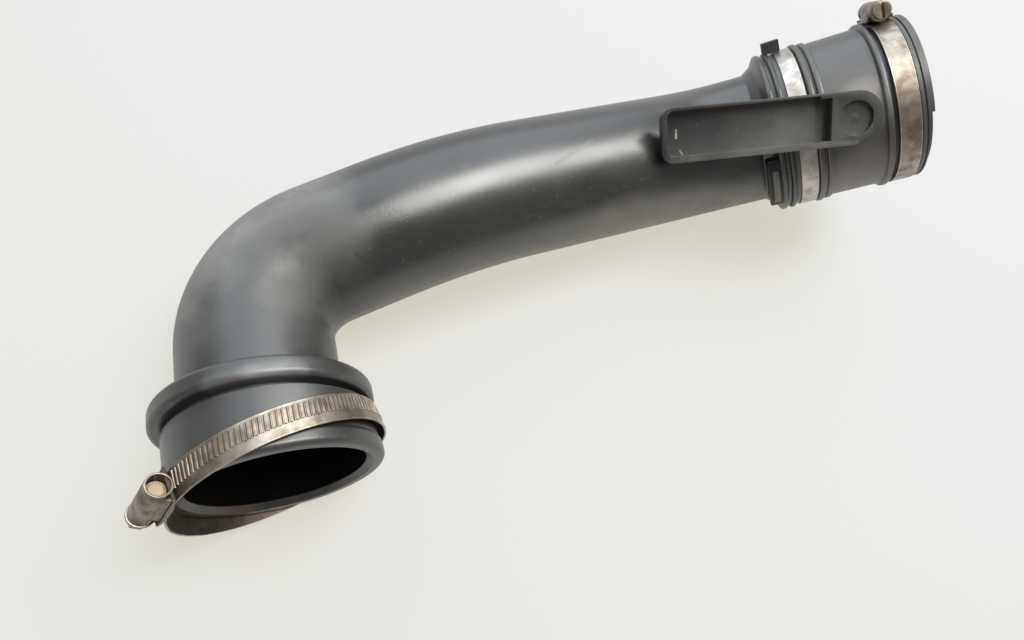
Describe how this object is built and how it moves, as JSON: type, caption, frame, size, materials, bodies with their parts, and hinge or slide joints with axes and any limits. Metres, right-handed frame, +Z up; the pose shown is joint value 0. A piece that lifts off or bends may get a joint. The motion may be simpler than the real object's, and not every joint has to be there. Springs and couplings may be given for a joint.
{
  "type": "charge air hose",
  "caption": "Moulded charge air hose with a tight elbow, a loosely clamped beaded cuff at one end and a banded rubber coupling with worm clamp and retaining arm at the other.",
  "frame": {"origin": "middle of the overall box at the floor, with the hose lying at rest", "axes": "+X along the long leg towards the coupling, +Z up, -Y towards the cuff's mouth"},
  "size_m": [0.4178, 0.184, 0.1259],
  "materials": {
    "hose_rubber": "satin",
    "coupling_rubber": "satin",
    "band_steel": "satin",
    "arm_plastic": "matte",
    "clamp_steel": "dull, stained",
    "screw_steel": "dull, stained"
  },
  "bodies": {
    "hose": {"elbow_hose": "hose_rubber", "coupling_sleeve": "coupling_rubber", "crimp_band": "band_steel", "retaining_arm": "arm_plastic", "arm_pin": "arm_plastic", "mouth_clamp_band": "clamp_steel", "mouth_clamp_housing": "clamp_steel", "end_clamp_band": "clamp_steel", "end_clamp_housing": "clamp_steel"},
    "mouth_screw": {"mouth_clamp_screw": "screw_steel"},
    "end_screw": {"end_clamp_screw": "screw_steel"}
  },
  "joints": [
    {"name": "mouth_screw_turn", "type": "hinge", "parent": "hose", "child": "mouth_screw", "pos_m": [-0.20303, -0.08202, 0.06171], "axis": [-0.4774, -0.2706, -0.836], "continuous": true},
    {"name": "end_screw_turn", "type": "hinge", "parent": "hose", "child": "end_screw", "pos_m": [0.16145, 0.07464, 0.11651], "axis": [-0.5245, -0.5454, 0.6538], "continuous": true}
  ]
}
